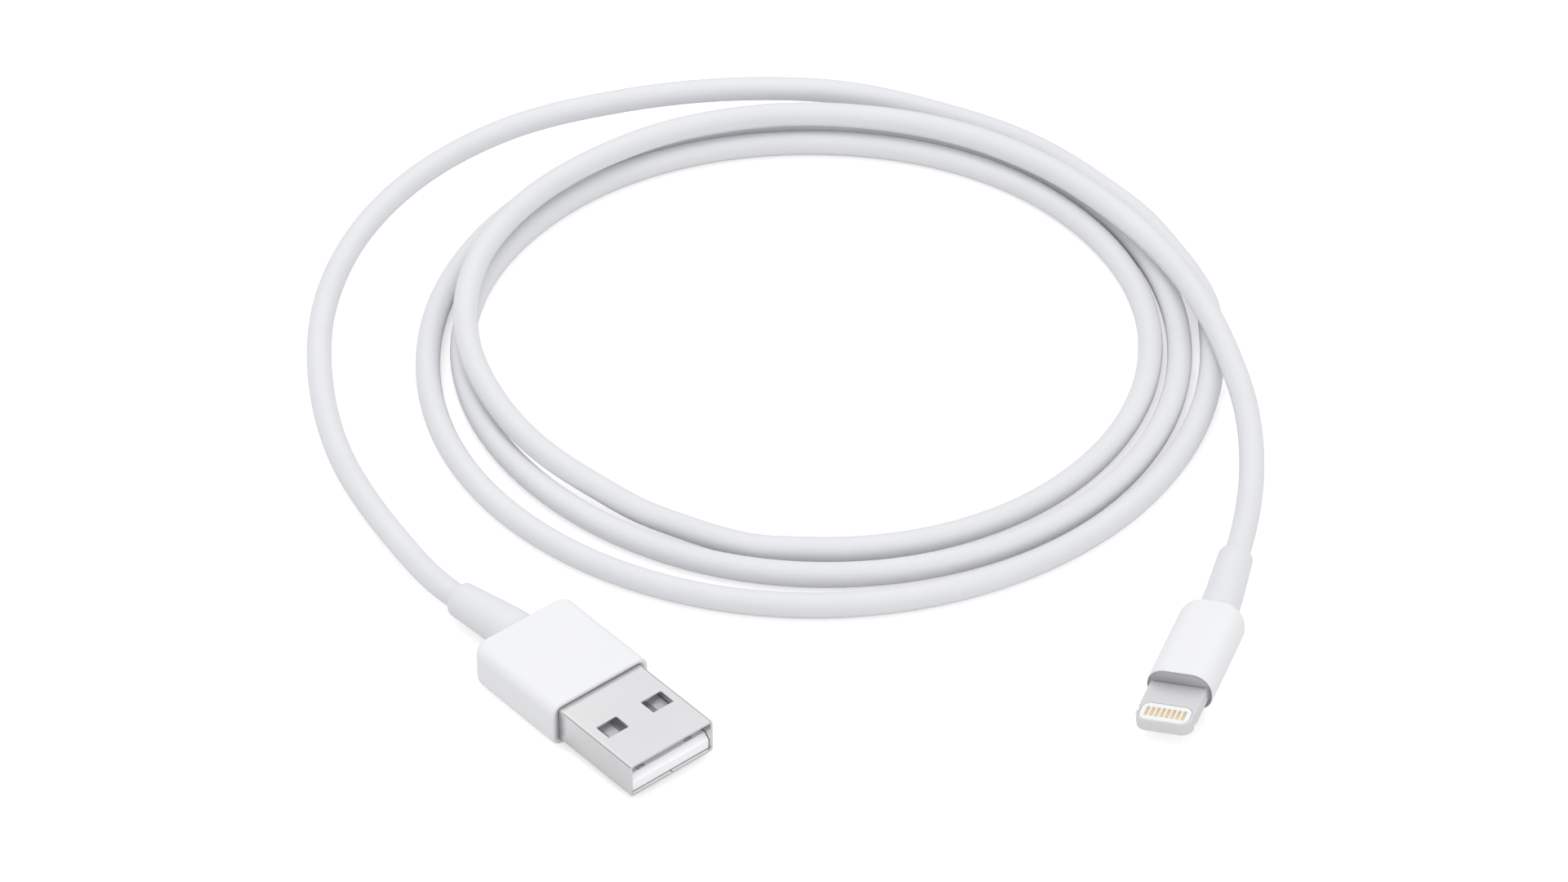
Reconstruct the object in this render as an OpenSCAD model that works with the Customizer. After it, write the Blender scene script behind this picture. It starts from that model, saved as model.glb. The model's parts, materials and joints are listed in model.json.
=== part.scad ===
// Charging cable: a USB type A plug and a small 8-contact tab plug on one round
// white cord that lies in loose loops on a table. Sizes are in millimetres.
// The table is z = 0, the USB plug lies at -X, the tab plug at +X, and the loops
// lie towards +Y. Each plug is drawn in its own frame: its tip is x = 0, it points
// along +x, and z = 0 is its middle plane.

/* [Cord] */
// Outside diameter of the round cord
cord_d = 3; // [2.6:0.1:3.4]
// Diameter of the shielded core under the jacket
core_d = 2; // [1.6:0.1:2.2]
// Thickness of the braid folded over the core
braid_t = 0.12; // [0.08:0.01:0.15]
// Diameter of one insulated wire
wire_d = 0.6; // [0.4:0.05:0.64]
// Wall of the crimped ferrules
crimp_t = 0.12; // [0.1:0.01:0.14]
// Length of the crimped ferrules
crimp_l = 1.6; // [1.2:0.1:1.7]
// Width of the strap that runs forward from each ferrule
strap_w = 1.2; // [0.8:0.1:1.6]
// Rounding of the strain reliefs' tips
relief_tip_r = 0.6; // [0.3:0.05:0.6]
// Wall of the strain reliefs' necks inside the covers
neck_wall = 0.4; // [0.3:0.05:0.5]

/* [USB plug shell] */
// Width of the metal shell
usb_shell_w = 12; // [11.5:0.1:12.5]
// Height of the metal shell
usb_shell_h = 4.5; // [4.3:0.1:4.8]
// Sheet thickness of the metal shell
usb_shell_t = 0.3; // [0.2:0.02:0.34]
// Outside radius of the shell's long bends
usb_shell_r = 0.4; // [0.4:0.05:0.9]
// Length of shell in front of the cover
usb_shell_out = 12.6; // [12:0.1:13.2]
// Length of shell held inside the cover
usb_shell_in = 3.6; // [3.2:0.1:4.5]
// Width of each latch window
window_w = 2.9; // [2:0.1:3.1]
// Length of each latch window along the plug
window_l = 2.25; // [1.8:0.05:2.6]
// Distance between the middles of the two windows
window_pitch = 6.5; // [5.8:0.1:6.9]
// Distance from the mouth to the middle of the windows
window_x = 6.5; // [5.5:0.1:7.5]
// Width of the folded seam's gap under the shell
seam_gap = 0.12; // [0.08:0.02:0.2]

/* [USB plug inside] */
// Thickness of the plastic tongue
tongue_t = 1.9; // [1.7:0.05:2]
// Distance from the mouth to the front of the tongue
tongue_inset = 0.35; // [0.2:0.05:0.6]
// Size of the bevel on the tongue's front edge
tongue_bevel = 0.7; // [0.4:0.05:0.9]
// Length of the tongue in front of its root block
tongue_l = 11.4; // [11:0.1:12]
// Width of a contact
contact_w = 1; // [0.8:0.05:1.2]
// Thickness of a contact
contact_t = 0.3; // [0.2:0.02:0.36]
// Distance of the inner contacts from the middle
contact_y_in = 1; // [0.9:0.05:1.2]
// Distance of the outer contacts from the middle
contact_y_out = 3.5; // [3.3:0.05:3.8]
// Distance from the mouth to the tips of the outer contacts
contact_tip_out = 1.3; // [1.2:0.1:2]
// Distance from the mouth to the tips of the inner contacts
contact_tip_in = 2.7; // [2.4:0.1:3]
// Length of the contact tails behind the shell
tail_l = 3; // [2.6:0.1:3.4]
// Sheet thickness of the shielding cans
can_t = 0.15; // [0.1:0.01:0.2]

/* [USB plug cover] */
// Width of the white cover
usb_cover_w = 14; // [13.4:0.1:14.4]
// Height of the white cover
usb_cover_h = 5.9; // [5.7:0.1:6.6]
// Length of the white cover
usb_cover_l = 14.4; // [14:0.1:16]
// Radius of the cover's long edges
usb_cover_r = 1.5; // [1:0.1:2]
// Radius of the cover's back corners
usb_cover_back_r = 1.2; // [0.8:0.1:2]
// Thickness of the rim round the cover's front
usb_cover_rim = 0.25; // [0.2:0.05:0.35]
// Depth of the groove between that rim and the shell
usb_cover_groove = 0.3; // [0.2:0.05:0.8]
// Thickness of the cover's back wall
usb_back_wall = 1; // [0.8:0.1:1.4]
// Length of the inner mould behind the shielding can
usb_mould_l = 3.6; // [3.3:0.1:3.8]
// Length of the strain relief behind the cover
usb_relief_l = 10.1; // [9:0.1:12]
// Diameter of the strain relief at the cover
usb_relief_d = 5.3; // [4.8:0.1:5.3]
// Diameter of the strain relief at its tip
usb_relief_tip_d = 4.3; // [4.2:0.1:4.8]
// Radius of the flare where the strain relief meets the cover
usb_relief_flare = 0.25; // [0.1:0.05:0.3]
// Sideways bend of the strain relief as the cord pulls it
usb_relief_bend = 6; // [0:1:8]

/* [Tab plug metal] */
// Width of the tab
tab_w = 6.7; // [6.5:0.1:6.9]
// Thickness of the tab
tab_t = 1.5; // [1.4:0.05:1.6]
// Length of tab in front of the cover
tab_out = 6.8; // [6.5:0.1:7.2]
// Length of the tab's frame inside the cover
tab_in = 2.9; // [2.5:0.1:3]
// Radius of the tab's front corners
tab_r = 1.3; // [1:0.1:1.6]
// Distance from the tip to the middle of the side notches
notch_x = 1.9; // [1.8:0.1:4.2]
// Radius of the side notches
notch_r = 0.5; // [0.4:0.05:0.6]
// Depth of the side notches
notch_depth = 0.2; // [0.1:0.05:0.25]
// Width of the frame's part inside the cover
frame_in_w = 5.9; // [5.6:0.1:6]

/* [Tab plug inside] */
// Width of the white contact insert
insert_w = 5.9; // [5.6:0.05:5.95]
// Length of the white contact insert
insert_l = 2.9; // [2.6:0.05:3]
// Distance from the tip to the front of the insert
insert_inset = 0.25; // [0.2:0.05:0.5]
// Corner radius of the insert
insert_r = 1; // [0.5:0.05:1.1]
// Width of the insert's tail inside the frame
insert_tail_w = 4.4; // [4:0.1:4.8]
// Thickness of the insert's tail inside the frame
insert_tail_t = 0.7; // [0.5:0.05:0.8]
// Distance between neighbouring contact pads
pad_pitch = 0.62; // [0.58:0.01:0.64]
// Width of a contact pad
pad_w = 0.36; // [0.3:0.01:0.42]
// Length of a contact pad
pad_l = 1.5; // [1.2:0.05:1.7]
// Thickness of a contact pad
pad_t = 0.15; // [0.1:0.01:0.2]
// Width of the circuit board
board_w = 5; // [4.6:0.1:5.2]
// Length of the circuit board
board_l = 6; // [5.6:0.1:6.2]
// Thickness of the circuit board
board_t = 0.5; // [0.4:0.05:0.6]
// Side of the square controller chip
chip_w = 2; // [1.6:0.1:2.2]
// Side of the square power chip
power_chip_w = 1.6; // [1.2:0.1:2]
// Height of the chips
chip_t = 0.5; // [0.4:0.05:0.6]

/* [Tab plug cover] */
// Width of the white cover
boot_w = 7.8; // [7.6:0.1:8.2]
// Height of the white cover
boot_h = 5.1; // [5:0.1:5.4]
// Length of the white cover
boot_l = 13.7; // [13.4:0.1:15]
// Radius of the cover's long edges
boot_r = 2.4; // [2.1:0.05:2.45]
// Radius of the cover's back corners
boot_back_r = 1.6; // [1:0.1:1.8]
// Wall of the cover
boot_wall = 0.65; // [0.5:0.05:0.7]
// Thickness of the cover's back wall and of the collar in its front
boot_end_wall = 0.8; // [0.7:0.05:1]
// Thickness of the rim round the cover's front
boot_rim = 0.2; // [0.15:0.05:0.4]
// Depth of the collar's face behind that rim
boot_recess = 0.05; // [0.05:0.05:0.4]
// Length of the inner mould behind the circuit board
tab_mould_l = 2.3; // [2:0.1:2.4]
// Length of the strain relief behind the cover
tab_relief_l = 11; // [10:0.1:13]
// Diameter of the strain relief at the cover
tab_relief_d = 4.7; // [4.3:0.1:4.7]
// Diameter of the strain relief at its tip
tab_relief_tip_d = 4.1; // [4:0.1:4.3]
// Radius of the flare where the strain relief meets the cover
tab_relief_flare = 0.1; // [0.05:0.05:0.1]
// Sideways bend of the strain relief as the cord pulls it
tab_relief_bend = 5; // [0:1:8]

/* [Hidden] */

$fn = 48;
// clearance between parts that fit into each other
gap = 0.05;
// overlap used only to make cuts run right through
cut = 1;
// the cord is a little thicker at its knee than on its straight parts
knee = 1.02;
// how far the cord's core ends inside the inner moulds, and how far its knee reaches
core_inset = 0.4;
knee_out = 0.1;

// where the two plugs lie on the table: the middle of each tip, and its heading
usb_place = [-20.35, -15.9];
usb_yaw = -49.3;
tab_place = [34.55, -10.5];
tab_yaw = -110.5;
// the tab plug's rounded cover has rolled a little to one side
tab_roll = 7;

// --- derived sizes of the USB plug ---
usb_lift = usb_cover_h / 2;
usb_in_w = usb_shell_w - 2 * usb_shell_t;
usb_in_h = usb_shell_h - 2 * usb_shell_t;
usb_front_x = -usb_shell_out;
usb_shell_x = -usb_shell_out - usb_shell_in;
usb_back_x = -usb_shell_out - usb_cover_l;
usb_wall_x = usb_back_x + usb_back_wall;
usb_mould_x = usb_wall_x + gap + usb_mould_l;
usb_core_x = usb_mould_x - core_inset;
tongue_bottom = -usb_in_h / 2 + gap;
tongue_top = tongue_bottom + tongue_t;
root_x = -tongue_inset - tongue_l;
tail_x = usb_shell_x - tail_l;
// how far the rear block reaches past the outer contacts on each side
block_side = 1;
// the bare wire ends lie in beads of solder on the contact tails
usb_bead_l = 1;
usb_bead_end = 0.25;
usb_bead_x = tail_x + usb_bead_end + usb_bead_l;
usb_wire_z = tongue_top + gap + wire_d / 2;
// the outer contacts reach further forward than the inner ones
usb_contact_y = [-contact_y_out, -contact_y_in, contact_y_in, contact_y_out];
usb_contact_tip = [contact_tip_out, contact_tip_in, contact_tip_in, contact_tip_out];

// --- derived sizes of the tab plug ---
boot_front_x = -tab_out;
collar_x = boot_front_x - boot_recess;
ledge_x = collar_x - boot_end_wall;
boot_back_x = -tab_out - boot_l;
boot_wall_x = boot_back_x + boot_end_wall;
// the lowest point of a rolled rounded box is as far down as this
tab_lift = (boot_w / 2 - boot_r) * sin(tab_roll) + (boot_h / 2 - boot_r) * cos(tab_roll) + boot_r;
cavity_w = boot_w - 2 * boot_wall;
cavity_h = boot_h - 2 * boot_wall;
cavity_r = boot_r - boot_wall;
frame_x = -tab_out - tab_in;
board_x = frame_x - gap;
board_end_x = board_x - board_l;
tab_mould_x = boot_wall_x + gap + tab_mould_l;
tab_core_x = tab_mould_x - core_inset;
tab_can_end_x = tab_mould_x + gap;
// the chips' middle, and the capacitors on both sides of the controller chip
chip_inset = 2;
chip_x = board_x - chip_inset;
capacitor = [0.9, 0.45, 0.45];
capacitor_pitch = 1.26;
capacitor_gap = 0.3;
// the wires lie in beads of solder on the board's back end
tab_wire_y = [-1.8, -0.6, 0.6, 1.8];
tab_wire_z = board_t / 2 + gap + wire_d / 2;
tab_bead_l = 1;
tab_bead_end = 0.5;
tab_bead_x = board_end_x + tab_bead_end + tab_bead_l;

// --- the wires, in the same places round the core at both ends ---
core_y = [-0.6, -0.36, 0.36, 0.6];
core_z = [-0.25, 0.5, 0.5, -0.25];
crimp_in_d = core_d + 2 * braid_t + 2 * gap;
crimp_out_d = crimp_in_d + 2 * crimp_t;
mould_bore_d = crimp_out_d + 2 * gap;
// width of the solder beads that hold the wires
bead_w = wire_d * 4 / 3;

// --- the free cord: points chosen along its route, x, y, height of its middle ---
usb_route = [
    [-53, 23, 2],
    [-60, 37.5, 1.5],
    [-63.5, 51.5, 1.5],
    [-64, 65.5, 2.5],
    [-60.5, 79, 3.5],
    [-53, 90.5, 4.5],
    [-42, 99.5, 5],
    [-28.5, 105, 5],
    [-14.5, 107.5, 5],
    [-0.5, 107.5, 4.5],
    [12, 105, 3],
    [23, 100, 2],
    [32, 91.5, 1.5],
    [39, 81, 1.5],
];
tab_route = [
    [-22, 26.5, 2],
    [-30, 31.5, 3],
    [-37, 37.5, 4],
    [-42, 45, 4.5],
    [-45.5, 54, 5],
    [-46.5, 64.5, 5],
    [-44.5, 75, 5],
    [-39, 85, 5],
    [-31, 93, 5],
    [-21, 99, 5],
    [-9, 102, 5],
    [3, 101.5, 5],
    [14.5, 98, 5],
    [24.5, 91.5, 5],
    [32.5, 83, 5],
    [39, 73, 5],
    [43.5, 62, 5],
    [46.5, 50.5, 4],
    [47.5, 41, 3.5],
    [47, 31, 2.5],
];
// the loops on the table: their middle, and the radius at each eighth of a turn,
// clockwise from +X, as the cord spirals in
coil_middle = [-5.85, 61.8];
coil_radii = [50, 50.5, 50, 48, 45, 43, 42.5, 44.5, 46,
    46.5, 44.5, 42, 41, 39.5, 39, 41, 42.5, 42, 40];
rings_per_turn = 24;
coil_sides = 6;
lead_sides = 8;
wire_sides = 12;
rings_per_step = 2;

// ---------- small helpers ----------

// extrudes a y-z outline along x
module along(x0, x1) {
    translate([min(x0, x1), 0, 0]) rotate([90, 0, 90])
        linear_extrude(abs(x1 - x0)) children();
}

module rounded(w, h, r) {
    square([w - 2 * r, h], center = true);
    square([w, h - 2 * r], center = true);
    for (sx = [-1, 1], sy = [-1, 1])
        translate([sx * (w / 2 - r), sy * (h / 2 - r)]) circle(r);
}

module box(x0, x1, w, z0, z1, y = 0) {
    translate([min(x0, x1), y - w / 2, z0]) cube([abs(x1 - x0), w, z1 - z0]);
}

module pipe(x0, x1, d_out, d_in) {
    along(x0, x1) difference() {
        circle(d = d_out);
        circle(d = d_in);
    }
}

// an insulated wire: straight from its bead at x0 to x1, then an S to the core's end
module wire(i, x0, x1, y, z, core_x) {
    points = concat([[x0, y, z]], [for (f = [0:0.1:1.01])
        let (s = f * f * (3 - 2 * f))
            [x1 + (core_x - x1) * f, y + (core_y[i] - y) * s, z + (core_z[i] - z) * s]]);
    tube(points, wire_d, wire_sides, [-1, 0, 0], [-1, 0, 0]);
}

module at_usb() {
    translate([usb_place.x, usb_place.y, usb_lift]) rotate([0, 0, usb_yaw]) children();
}

module at_tab() {
    translate([tab_place.x, tab_place.y, tab_lift]) rotate([0, 0, tab_yaw])
        rotate([tab_roll, 0, 0]) children();
}

// swings what lies behind a cover's back wall by the strain relief's bend
module past_cover(back_x, bend) {
    translate([back_x, 0, 0]) rotate([0, 0, bend]) children();
}

// a tapered strain relief that starts at a cover's back, with a flared root, a rounded
// tip, a neck through the back wall and a hole for the cord
module strain_relief(back_x, wall_x, bend, l, d, tip_d, flare) {
    root_r = d / 2 + flare;
    root = flare + root_r * sin(bend);
    difference() {
        union() {
            difference() {
                past_cover(back_x, bend) rotate([0, -90, 0]) rotate_extrude() polygon(concat(
                    [[0, -root], [root_r, -root]],
                    [for (a = [270:-22.5:180]) [root_r, flare] + flare * [cos(a), sin(a)]],
                    [for (a = [0:15:90]) [tip_d / 2 - relief_tip_r, l - relief_tip_r]
                        + relief_tip_r * [cos(a), sin(a)]],
                    [[0, l]]));
                box(back_x - gap, back_x + cut + root, 3 * root_r, -2 * root_r, 2 * root_r);
            }
            along(back_x - 2 * gap, wall_x) circle(d = cord_d + 2 * neck_wall);
        }
        cord_channel(back_x, wall_x, bend, l, cord_d + 2 * gap);
    }
}

// the jacket's path through a cover's back wall and along the bent strain relief
module cord_channel(back_x, wall_x, bend, l, d) {
    over = d > cord_d ? cut : 0;
    along(back_x - knee_out, wall_x + over) circle(d = d * knee);
    past_cover(back_x, bend) along(-l - over, 2 * knee_out) circle(d = d);
}

module cord_end(back_x, wall_x, core_x, bend, l) {
    along(wall_x, core_x) circle(d = core_d);
    cord_channel(back_x, wall_x, bend, l, cord_d);
}

// ---------- USB plug ----------

module usb_windows(side) {
    for (sy = [-1, 1])
        box(-window_x - window_l / 2, -window_x + window_l / 2, window_w,
            side > 0 ? 0 : -usb_shell_h, side > 0 ? usb_shell_h : 0, sy * window_pitch / 2);
}

module usb_shell() {
    color("silver") at_usb() difference() {
        along(usb_shell_x, 0) difference() {
            rounded(usb_shell_w, usb_shell_h, usb_shell_r);
            rounded(usb_in_w, usb_in_h, usb_shell_r - usb_shell_t);
        }
        usb_windows(1);
        usb_windows(-1);
        box(usb_shell_x - cut, cut, seam_gap, -usb_shell_h, 0);
    }
}

module usb_contact_slots() {
    for (i = [0:3]) {
        tip = -usb_contact_tip[i] + gap;
        box(usb_shell_x - cut, tip, contact_w + 2 * gap, tongue_top - contact_t - gap,
            tongue_top + cut, usb_contact_y[i]);
    }
}

module usb_tongue() {
    blade_w = usb_in_w - 2 * gap;
    color("white") at_usb() difference() {
        union() {
            along(root_x - gap, -tongue_inset) translate([0, (tongue_top + tongue_bottom) / 2])
                rounded(blade_w, tongue_t, usb_shell_r - usb_shell_t);
            along(usb_shell_x + gap, root_x)
                rounded(blade_w, usb_in_h - 2 * gap, usb_shell_r - usb_shell_t);
        }
        translate([-tongue_inset, 0, tongue_top]) rotate([0, 45, 0])
            cube([tongue_bevel * sqrt(2), blade_w + cut, tongue_bevel * sqrt(2)], center = true);
        usb_contact_slots();
    }
}

module usb_rear_block() {
    block_w = 2 * (contact_y_out + contact_w / 2 + block_side);
    color("lightgray") at_usb() difference() {
        union() {
            box(tail_x, usb_shell_x - gap, block_w, tongue_bottom, tongue_top - contact_t - gap);
            box(usb_bead_x, usb_shell_x - gap, block_w, tongue_bottom, usb_in_h / 2 - gap);
        }
        usb_contact_slots_rear();
    }
}

module usb_contact_slots_rear() {
    for (y = usb_contact_y)
        box(tail_x - cut, usb_shell_x + cut, contact_w + 2 * gap, tongue_top - contact_t - gap,
            tongue_top + gap, y);
}

module usb_contact(i) {
    tip = -usb_contact_tip[i];
    color("silver") at_usb()
        translate([0, usb_contact_y[i], tongue_top - contact_t]) {
            box(tail_x, tip - contact_w / 2, contact_w, 0, contact_t);
            translate([tip - contact_w / 2, 0, 0]) cylinder(h = contact_t, d = contact_w);
        }
}

module usb_contact_vbus() { usb_contact(3); }
module usb_contact_data_minus() { usb_contact(2); }
module usb_contact_data_plus() { usb_contact(1); }
module usb_contact_ground() { usb_contact(0); }

module usb_solder_joints() {
    color("darkgray") at_usb() for (y = usb_contact_y)
        box(usb_bead_x - usb_bead_l, usb_bead_x, bead_w, tongue_top,
            tongue_top + wire_d, y);
}

module usb_wire(i) {
    color(["dimgray", "green", "white", "red"][i]) at_usb()
        wire(i, usb_bead_x - usb_bead_l, tail_x, usb_contact_y[i], usb_wire_z, usb_core_x);
}

module usb_wire_red() { usb_wire(3); }
module usb_wire_white() { usb_wire(2); }
module usb_wire_green() { usb_wire(1); }
module usb_wire_black() { usb_wire(0); }

// half of a thin can round the back of the plug: side 1 is the top, -1 the bottom
module usb_can_half(side) {
    at_usb() difference() {
        along(usb_mould_x + gap, usb_shell_x - gap) difference() {
            rounded(usb_shell_w - 2 * gap, usb_shell_h - 2 * gap, usb_shell_r);
            rounded(usb_shell_w - 2 * gap - 2 * can_t, usb_shell_h - 2 * gap - 2 * can_t,
                usb_shell_r - can_t);
        }
        mirror([0, 0, side > 0 ? 0 : 1])
            box(usb_mould_x - cut, usb_shell_x + cut, usb_shell_w + cut, -usb_shell_h, gap / 2);
    }
}

module usb_can_top() { color("lightgray") usb_can_half(1); }
module usb_can_bottom() { color("gainsboro") usb_can_half(-1); }

// a ferrule round the braid, with a strap forward
module crimp(x_core, x_strap) {
    x_back = x_core - gap - crimp_l;
    pipe(x_back, x_core - gap, crimp_out_d, crimp_in_d);
    intersection() {
        pipe(x_back, x_strap, crimp_out_d, crimp_in_d);
        box(x_back, x_strap, strap_w, -crimp_out_d, 0);
    }
}

module braid(x_core) {
    pipe(x_core - gap - crimp_l, x_core, core_d + 2 * braid_t, core_d);
}

module usb_crimp() { color("silver") at_usb() crimp(usb_core_x, usb_mould_x + gap); }
module usb_braid() { color("tan") at_usb() braid(usb_core_x); }

module usb_inner_mould() {
    color("whitesmoke") at_usb() along(usb_wall_x + gap, usb_mould_x) difference() {
        rounded(usb_shell_w, usb_shell_h, usb_shell_r);
        circle(d = mould_bore_d);
    }
}

// a plan outline with round back corners, for either cover
module cover_plan(x_front, x_back, w, r) {
    difference() {
        translate([x_back, -w / 2]) square([x_front - x_back, w]);
        for (sy = [-1, 1]) translate([x_back, sy * w / 2]) rotate(sy > 0 ? -90 : 0)
            difference() {
                translate([-cut, -cut]) square(r + cut);
                translate([r, r]) circle(r);
            }
    }
}

module usb_cover() {
    color("white") at_usb() difference() {
        intersection() {
            along(usb_back_x, usb_front_x) rounded(usb_cover_w, usb_cover_h, usb_cover_r);
            translate([0, 0, -usb_cover_h]) linear_extrude(2 * usb_cover_h)
                cover_plan(usb_front_x, usb_back_x, usb_cover_w, usb_cover_back_r);
        }
        along(usb_wall_x, usb_front_x + cut)
            rounded(usb_shell_w + 2 * gap, usb_shell_h + 2 * gap, usb_shell_r + gap);
        along(usb_front_x - usb_cover_groove, usb_front_x + cut)
            rounded(usb_cover_w - 2 * usb_cover_rim, usb_cover_h - 2 * usb_cover_rim,
                usb_cover_r - usb_cover_rim);
        along(usb_back_x - cut, usb_wall_x + cut) circle(d = cord_d + 2 * neck_wall + 2 * gap);
    }
}

module usb_cord_end() {
    color("white") at_usb()
        cord_end(usb_back_x, usb_wall_x, usb_core_x, usb_relief_bend, usb_relief_l);
}

module usb_strain_relief() {
    color("white") at_usb() strain_relief(usb_back_x, usb_wall_x, usb_relief_bend,
        usb_relief_l, usb_relief_d, usb_relief_tip_d, usb_relief_flare);
}

// ---------- tab plug ----------

module tab_insert_outline(grow) {
    translate([-insert_inset - insert_l / 2, 0])
        rounded(insert_l + 2 * grow, insert_w + 2 * grow, insert_r + grow);
}

module tab_frame() {
    color("silver") at_tab() difference() {
        union() {
            translate([0, 0, -tab_t / 2]) linear_extrude(tab_t) tab_nose();
            box(frame_x, collar_x, frame_in_w, -tab_t / 2, tab_t / 2);
        }
        for (sy = [-1, 1])
            translate([-notch_x, sy * (tab_w / 2 - notch_depth + notch_r), -tab_t])
                cylinder(r = notch_r, h = 2 * tab_t);
        translate([0, 0, -tab_t]) linear_extrude(2 * tab_t) tab_insert_outline(gap);
        box(frame_x - cut, -insert_inset - insert_l / 2, insert_tail_w + 2 * gap,
            -insert_tail_t / 2 - gap, insert_tail_t / 2 + gap);
    }
}

// the tab's plan in front of the collar, with round front corners
module tab_nose() {
    translate([collar_x, -tab_w / 2]) square([-collar_x - tab_r, tab_w]);
    translate([-tab_r, -tab_w / 2 + tab_r]) square([tab_r, tab_w - 2 * tab_r]);
    for (sy = [-1, 1]) translate([-tab_r, sy * (tab_w / 2 - tab_r)]) circle(tab_r);
}

module tab_pads(side) {
    for (i = [0:7])
        translate([-insert_inset - insert_l / 2, (i - 3.5) * pad_pitch,
            side * (tab_t - pad_t) / 2])
            cube([pad_l, pad_w, pad_t], center = true);
}

module tab_insert() {
    color("white") at_tab() difference() {
        union() {
            translate([0, 0, -tab_t / 2]) linear_extrude(tab_t) tab_insert_outline(0);
            box(frame_x, -insert_inset - insert_l / 2, insert_tail_w, -insert_tail_t / 2,
                insert_tail_t / 2);
        }
        tab_pads(1);
        tab_pads(-1);
    }
}

module tab_contacts_top() { color("gold") at_tab() tab_pads(1); }
module tab_contacts_bottom() { color("gold") at_tab() tab_pads(-1); }

module tab_board() {
    color("darkgreen") at_tab() box(board_end_x, board_x, board_w, -board_t / 2, board_t / 2);
}

module tab_controller_chip() {
    color("black") at_tab() box(chip_x - chip_w / 2, chip_x + chip_w / 2, chip_w,
        board_t / 2, board_t / 2 + chip_t);
}

module tab_power_chip() {
    color("black") at_tab() box(chip_x - power_chip_w / 2, chip_x + power_chip_w / 2,
        power_chip_w, -board_t / 2 - chip_t, -board_t / 2);
}

module tab_capacitors() {
    color("burlywood") at_tab() for (sy = [-1, 1], i = [-1, 1])
        translate([chip_x + i * capacitor_pitch / 2,
            sy * (chip_w / 2 + capacitor_gap + capacitor.y / 2),
            (board_t + capacitor.z) / 2]) cube(capacitor, center = true);
}

module tab_solder_joints() {
    color("darkgray") at_tab() for (y = tab_wire_y)
        box(tab_bead_x - tab_bead_l, tab_bead_x, bead_w, board_t / 2,
            board_t / 2 + wire_d, y);
}

module tab_wire(i) {
    color(["dimgray", "green", "white", "red"][i]) at_tab()
        wire(i, tab_bead_x - tab_bead_l, board_end_x, tab_wire_y[i], tab_wire_z, tab_core_x);
}

module tab_wire_red() { tab_wire(3); }
module tab_wire_white() { tab_wire(2); }
module tab_wire_green() { tab_wire(1); }
module tab_wire_black() { tab_wire(0); }

module tab_can_half(side) {
    at_tab() difference() {
        along(tab_can_end_x, board_x - gap) difference() {
            rounded(cavity_w - 2 * gap, cavity_h - 2 * gap, cavity_r - gap);
            rounded(cavity_w - 2 * gap - 2 * can_t, cavity_h - 2 * gap - 2 * can_t,
                cavity_r - gap - can_t);
        }
        mirror([0, 0, side > 0 ? 0 : 1])
            box(tab_mould_x - cut, -tab_out, boot_w, -boot_h, gap / 2);
    }
}

module tab_can_top() { color("lightgray") tab_can_half(1); }
module tab_can_bottom() { color("gainsboro") tab_can_half(-1); }
module tab_crimp() { color("silver") at_tab() crimp(tab_core_x, tab_mould_x + gap); }
module tab_braid() { color("tan") at_tab() braid(tab_core_x); }

module tab_inner_mould() {
    color("whitesmoke") at_tab() along(boot_wall_x + gap, tab_mould_x) difference() {
        rounded(cavity_w - 2 * gap, cavity_h - 2 * gap, cavity_r - gap);
        circle(d = mould_bore_d);
    }
}

// the outline of the cover's open front, in which the collar sits on a ledge
module boot_mouth(shrink) {
    side = boot_rim + shrink;
    rounded(boot_w - 2 * side, boot_h - 2 * side, boot_r - side);
}

module tab_collar() {
    color("gray") at_tab() difference() {
        along(ledge_x, collar_x) boot_mouth(gap);
        box(ledge_x - cut, collar_x + cut, frame_in_w + 2 * gap, -tab_t / 2 - gap,
            tab_t / 2 + gap);
    }
}

module tab_cover() {
    color("white") at_tab() difference() {
        intersection() {
            along(boot_back_x, boot_front_x) rounded(boot_w, boot_h, boot_r);
            translate([0, 0, -boot_h]) linear_extrude(2 * boot_h)
                cover_plan(boot_front_x, boot_back_x, boot_w, boot_back_r);
        }
        along(boot_wall_x, boot_front_x) rounded(cavity_w, cavity_h, cavity_r);
        along(ledge_x, boot_front_x + cut) boot_mouth(0);
        along(boot_back_x - cut, boot_wall_x + cut) circle(d = cord_d + 2 * neck_wall + 2 * gap);
    }
}

module tab_cord_end() {
    color("white") at_tab()
        cord_end(boot_back_x, boot_wall_x, tab_core_x, tab_relief_bend, tab_relief_l);
}

module tab_strain_relief() {
    color("white") at_tab() strain_relief(boot_back_x, boot_wall_x, tab_relief_bend,
        tab_relief_l, tab_relief_d, tab_relief_tip_d, tab_relief_flare);
}

// ---------- the cord between the plugs ----------

function turned(v, a) = [v.x * cos(a) - v.y * sin(a), v.x * sin(a) + v.y * cos(a), v.z];
function rolled(v, a) = [v.x, v.y * cos(a) - v.z * sin(a), v.y * sin(a) + v.z * cos(a)];
function unit(v) = v / norm(v);

// a Catmull-Rom curve through values or points a, b, c, d, from b to c
function curve(a, b, c, d, f) =
    0.5 * (2 * b + (c - a) * f + (2 * a - 5 * b + 4 * c - d) * f * f
        + (3 * b - a - 3 * c + d) * f * f * f);

// the value at place u of a list that has one more value at each end
function smooth(list, u) =
    let (i = min(floor(u), len(list) - 4))
        curve(list[i], list[i + 1], list[i + 2], list[i + 3], u - i);

// no part of the cord lies lower than its radius above the table
function lifted(p) = [p.x, p.y, max(p.z, cord_d / 2)];

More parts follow.
